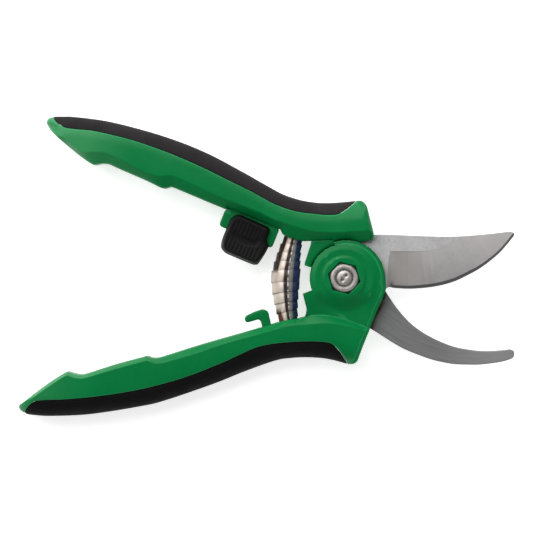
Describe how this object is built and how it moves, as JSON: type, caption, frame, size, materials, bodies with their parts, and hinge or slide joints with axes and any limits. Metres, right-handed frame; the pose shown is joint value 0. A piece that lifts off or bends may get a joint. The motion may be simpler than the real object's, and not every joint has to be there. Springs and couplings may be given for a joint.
{
  "type": "bypass pruner",
  "caption": "Hand pruner with a curved cutting blade passing a hooked counter blade, green handles with soft grips, a volute return spring and a sliding thumb lock.",
  "frame": {"origin": "on the pivot axis, in the plane of the flat bolt head that the pruner rests on when it lies on its side", "axes": "+X from the grips to the blade tips, +Y from the lower handle to the upper one, +Z along the pivot axis, up from the resting side to the nut side"},
  "size_m": [0.1938, 0.117, 0.0187],
  "materials": {
    "green_nylon": "satin gloss moulded glass-filled nylon",
    "soft_grip": "matt soft over-mould",
    "soft_grip_upper": "matt soft over-mould",
    "cutting_steel": "satin plate with a cross-ground face",
    "counter_steel": "brushed lengthwise",
    "plated_steel": "bright zinc plate",
    "spring_steel": "polished strip",
    "bronze": "sintered",
    "black_nylon": "ribbed satin"
  },
  "bodies": {
    "lower": {"lower_handle": "green_nylon", "lower_grip": "soft_grip", "cutting_blade": "cutting_steel", "cutting_blade_pin_1": "plated_steel", "cutting_blade_pin_2": "plated_steel", "pivot_bolt": "plated_steel", "pivot_nut": "plated_steel", "front_washer": "plated_steel", "rear_washer": "plated_steel", "pivot_bushing": "bronze", "blade_washer": "bronze", "volute_spring": "spring_steel"},
    "upper": {"upper_handle": "green_nylon", "upper_grip": "soft_grip_upper", "counter_blade": "counter_steel", "counter_blade_pin_1": "plated_steel", "counter_blade_pin_2": "plated_steel"},
    "lock": {"lock_button": "black_nylon", "lock_slider": "black_nylon", "lock_catch": "black_nylon", "lock_rear_plate": "black_nylon", "lock_screw_1": "plated_steel", "lock_screw_2": "plated_steel"}
  },
  "joints": [
    {"name": "main_pivot", "type": "hinge", "parent": "lower", "child": "upper", "pos_m": [0, 0, 0.009], "axis": [0, 0, 1], "range_deg": [0, 38], "stiffness_Nm_per_rad": 2, "springref_deg": -22.92, "deforming": ["volute_spring"]},
    {"name": "lock_slide", "type": "slide", "parent": "upper", "child": "lock", "axis": [0.927, -0.375, 0], "range_m": [0, 0.0042]}
  ]
}
